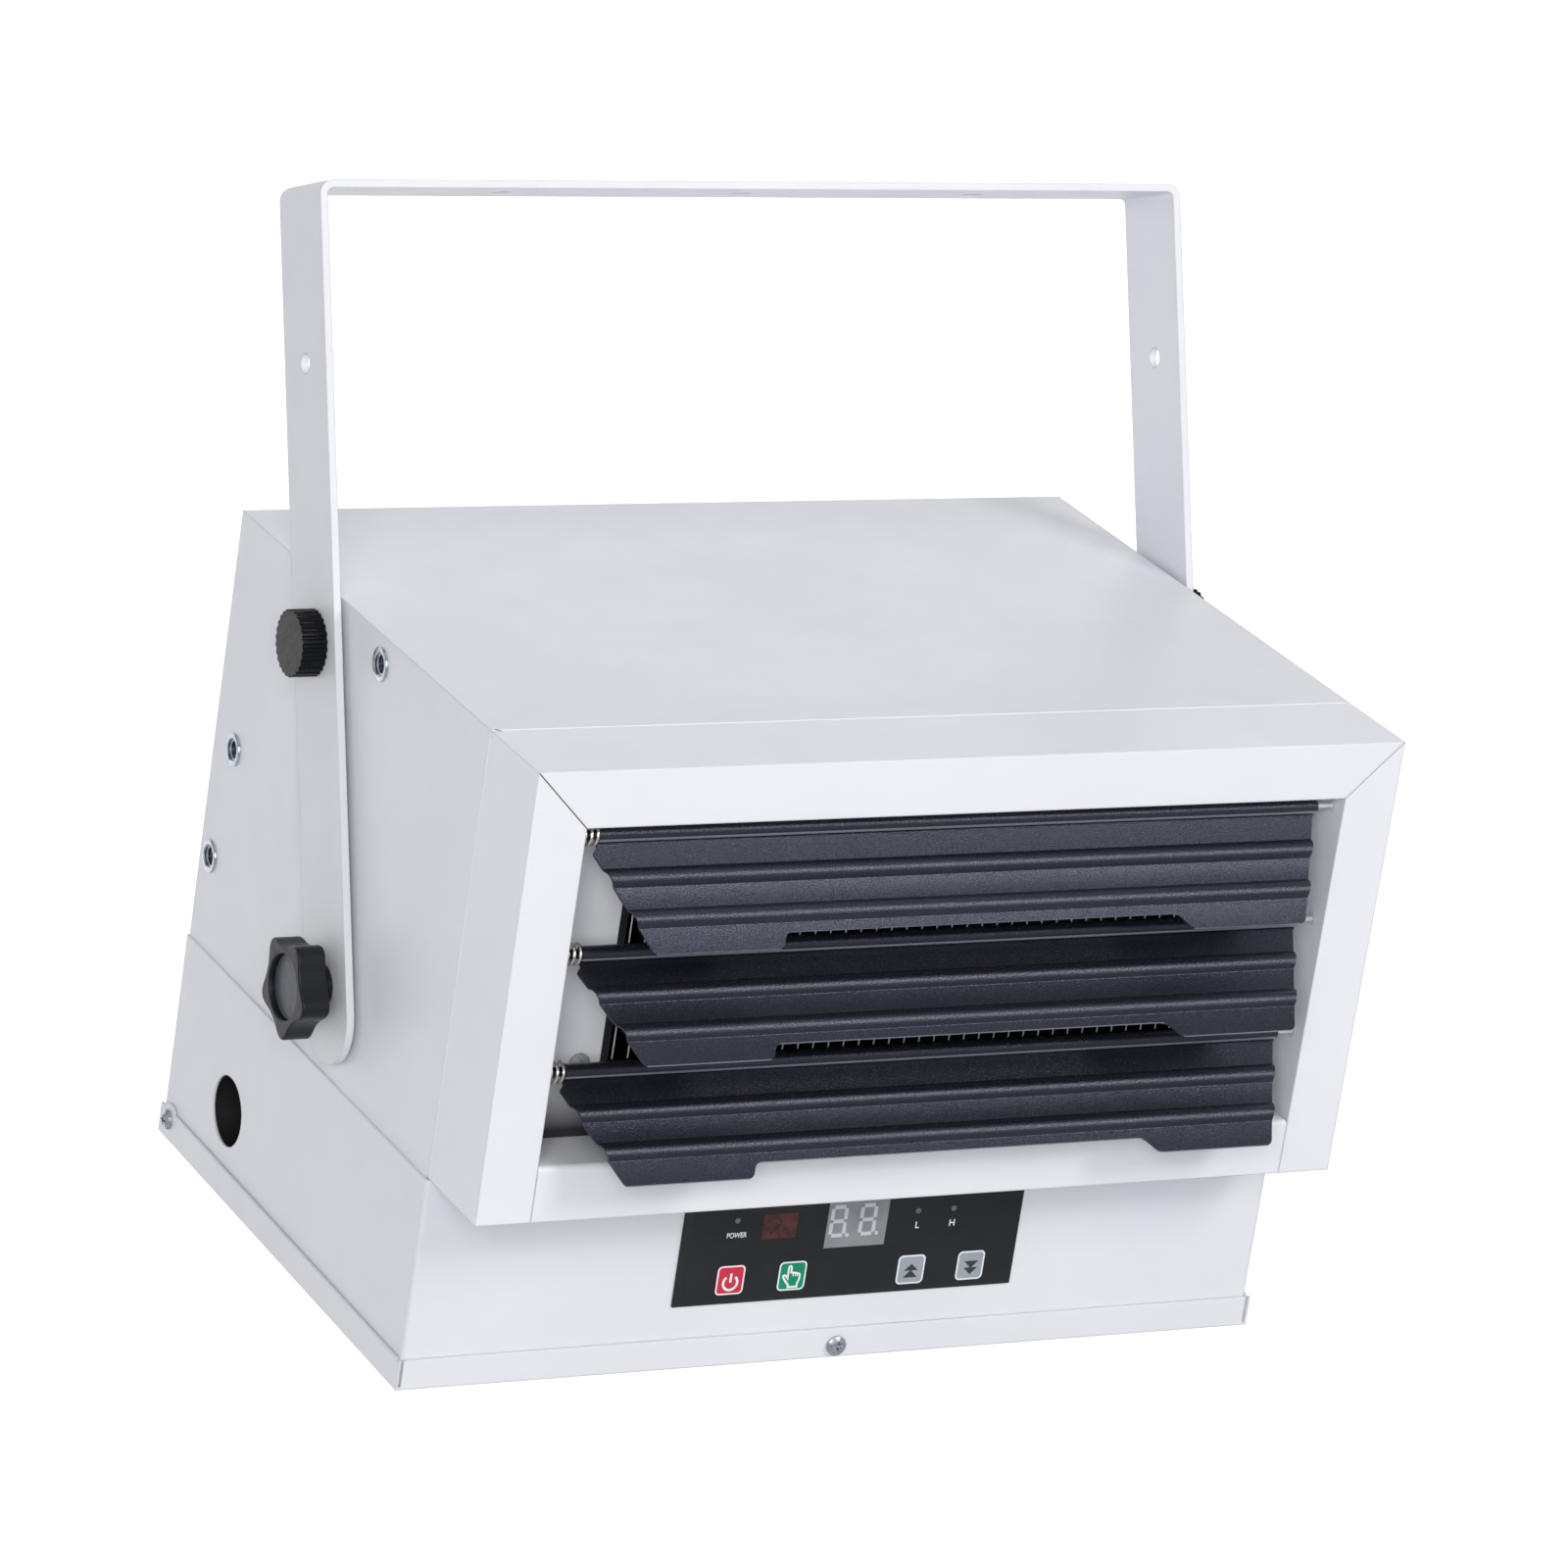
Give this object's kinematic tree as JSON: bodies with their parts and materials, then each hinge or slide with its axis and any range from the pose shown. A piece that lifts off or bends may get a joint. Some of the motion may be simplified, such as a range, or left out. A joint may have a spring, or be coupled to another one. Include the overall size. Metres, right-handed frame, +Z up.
{
  "type": "ceiling mounted fan heater",
  "caption": "Folded white sheet case with black sprung louvres over finned elements and a rear fan, hung in a U bracket and tilted about two star knobs.",
  "frame": {"origin": "centre of the bracket's top face, which is fastened to the ceiling", "axes": "+Z up towards the ceiling, +X along the bracket to the right as seen from in front, +Y to the rear; the warm air leaves towards -Y"},
  "size_m": [0.4058, 0.3542, 0.4487],
  "materials": {
    "white_paint": "satin powder coat",
    "baffle_steel": "satin",
    "knob_plastic": "matte",
    "cap_plastic": "satin",
    "zinc": "zinc plated",
    "louvre_paint": "fine textured",
    "spring_wire": "bright",
    "frame_paint": "matte",
    "element_steel": "heat treated",
    "cutout_body": "matte",
    "motor_paint": "satin",
    "fan_aluminium": "satin",
    "guard_wire": "satin powder coat",
    "membrane": "satin",
    "display_tint": "gloss",
    "receiver_tint": "gloss",
    "lens_clear": "gloss",
    "power_key": "satin",
    "mode_key": "satin",
    "arrow_key": "satin",
    "circuit_board": "satin",
    "display_face": "matte",
    "relay_case": "gloss",
    "winding": "lacquered",
    "terminal_plastic": "matte"
  },
  "bodies": {
    "bracket": {"hanging_bracket": "white_paint"},
    "star_knob_left_body": {"star_knob_left": "knob_plastic", "star_cap_left": "cap_plastic", "pivot_stud_left": "zinc"},
    "thumb_screw_left_body": {"thumb_knob_left": "knob_plastic", "thumb_stud_left": "zinc"},
    "star_knob_right_body": {"star_knob_right": "knob_plastic", "star_cap_right": "cap_plastic", "pivot_stud_right": "zinc"},
    "thumb_screw_right_body": {"thumb_knob_right": "knob_plastic", "thumb_stud_right": "zinc"},
    "louvre_top_body": {"louvre_top": "louvre_paint", "louvre_pins_top": "zinc", "louvre_spring_top": "spring_wire"},
    "louvre_middle_body": {"louvre_middle": "louvre_paint", "louvre_pins_middle": "zinc", "louvre_spring_middle": "spring_wire"},
    "louvre_bottom_body": {"louvre_bottom": "louvre_paint", "louvre_pins_bottom": "zinc", "louvre_spring_bottom": "spring_wire"},
    "fan_body": {"fan_blade": "fan_aluminium", "fan_shaft": "zinc"},
    "power_button_body": {"power_button": "power_key"},
    "mode_button_body": {"mode_button": "mode_key"},
    "raise_button_body": {"raise_button": "arrow_key"},
    "lower_button_body": {"lower_button": "arrow_key"},
    "heater": {"upper_shell": "white_paint", "lower_case": "white_paint", "base_tray": "white_paint", "rear_panel": "white_paint", "front_bezel": "white_paint", "bezel_lip": "white_paint", "outlet_baffle": "baffle_steel", "partition_plate": "white_paint", "pivot_inserts": "zinc", "lock_inserts": "zinc", "element_frame": "frame_paint", "heating_element_top": "element_steel", "heating_element_middle": "element_steel", "heating_element_bottom": "element_steel", "thermal_cutout": "cutout_body", "fan_motor": "motor_paint", "motor_mount": "zinc", "rear_guard": "guard_wire", "tray_screws": "zinc", "guard_screws": "zinc", "rear_screws": "zinc", "baffle_screws": "zinc", "motor_screws": "zinc", "membrane_panel": "membrane", "display_window": "display_tint", "receiver_window": "receiver_tint", "indicator_lenses": "lens_clear", "control_board": "circuit_board", "display_module": "display_face", "power_board": "circuit_board", "power_relays": "relay_case", "transformer": "winding", "terminal_block": "terminal_plastic"}
  },
  "joints": [
    {"name": "heater_tilt", "type": "hinge", "parent": "bracket", "child": "heater", "pos_m": [0, 0, -0.3], "axis": [1, 0, 0], "range_deg": [-22, 68]},
    {"name": "star_knob_left_turn", "type": "hinge", "parent": "bracket", "child": "star_knob_left_body", "pos_m": [-0.19, 0, -0.3], "axis": [1, 0, 0], "continuous": true},
    {"name": "thumb_screw_left_turn", "type": "hinge", "parent": "bracket", "child": "thumb_screw_left_body", "pos_m": [-0.19, 0, -0.172], "axis": [1, 0, 0], "continuous": true},
    {"name": "star_knob_right_turn", "type": "hinge", "parent": "bracket", "child": "star_knob_right_body", "pos_m": [0.19, 0, -0.3], "axis": [1, 0, 0], "continuous": true},
    {"name": "thumb_screw_right_turn", "type": "hinge", "parent": "bracket", "child": "thumb_screw_right_body", "pos_m": [0.19, 0, -0.172], "axis": [1, 0, 0], "continuous": true},
    {"name": "louvre_top_turn", "type": "hinge", "parent": "heater", "child": "louvre_top_body", "pos_m": [0, -0.16226, -0.24541], "axis": [-1, 0, 0], "range_deg": [-27.5, 38.5]},
    {"name": "louvre_middle_turn", "type": "hinge", "parent": "heater", "child": "louvre_middle_body", "pos_m": [0, -0.14503, -0.28806], "axis": [-1, 0, 0], "range_deg": [-37, 29]},
    {"name": "louvre_bottom_turn", "type": "hinge", "parent": "heater", "child": "louvre_bottom_body", "pos_m": [0, -0.1278, -0.33071], "axis": [-1, 0, 0], "range_deg": [-29, 32]},
    {"name": "fan_spin", "type": "hinge", "parent": "heater", "child": "fan_body", "pos_m": [0, 0.09403, -0.2124], "axis": [0, 0.9272, 0.3746], "continuous": true},
    {"name": "power_button_press", "type": "slide", "parent": "heater", "child": "power_button_body", "axis": [0, 0.9272, 0.3746], "range_m": [0, 0.0003], "stiffness_N_per_m": 5000},
    {"name": "mode_button_press", "type": "slide", "parent": "heater", "child": "mode_button_body", "axis": [0, 0.9272, 0.3746], "range_m": [0, 0.0003], "stiffness_N_per_m": 5000},
    {"name": "raise_button_press", "type": "slide", "parent": "heater", "child": "raise_button_body", "axis": [0, 0.9272, 0.3746], "range_m": [0, 0.0003], "stiffness_N_per_m": 5000},
    {"name": "lower_button_press", "type": "slide", "parent": "heater", "child": "lower_button_body", "axis": [0, 0.9272, 0.3746], "range_m": [0, 0.0003], "stiffness_N_per_m": 5000}
  ]
}
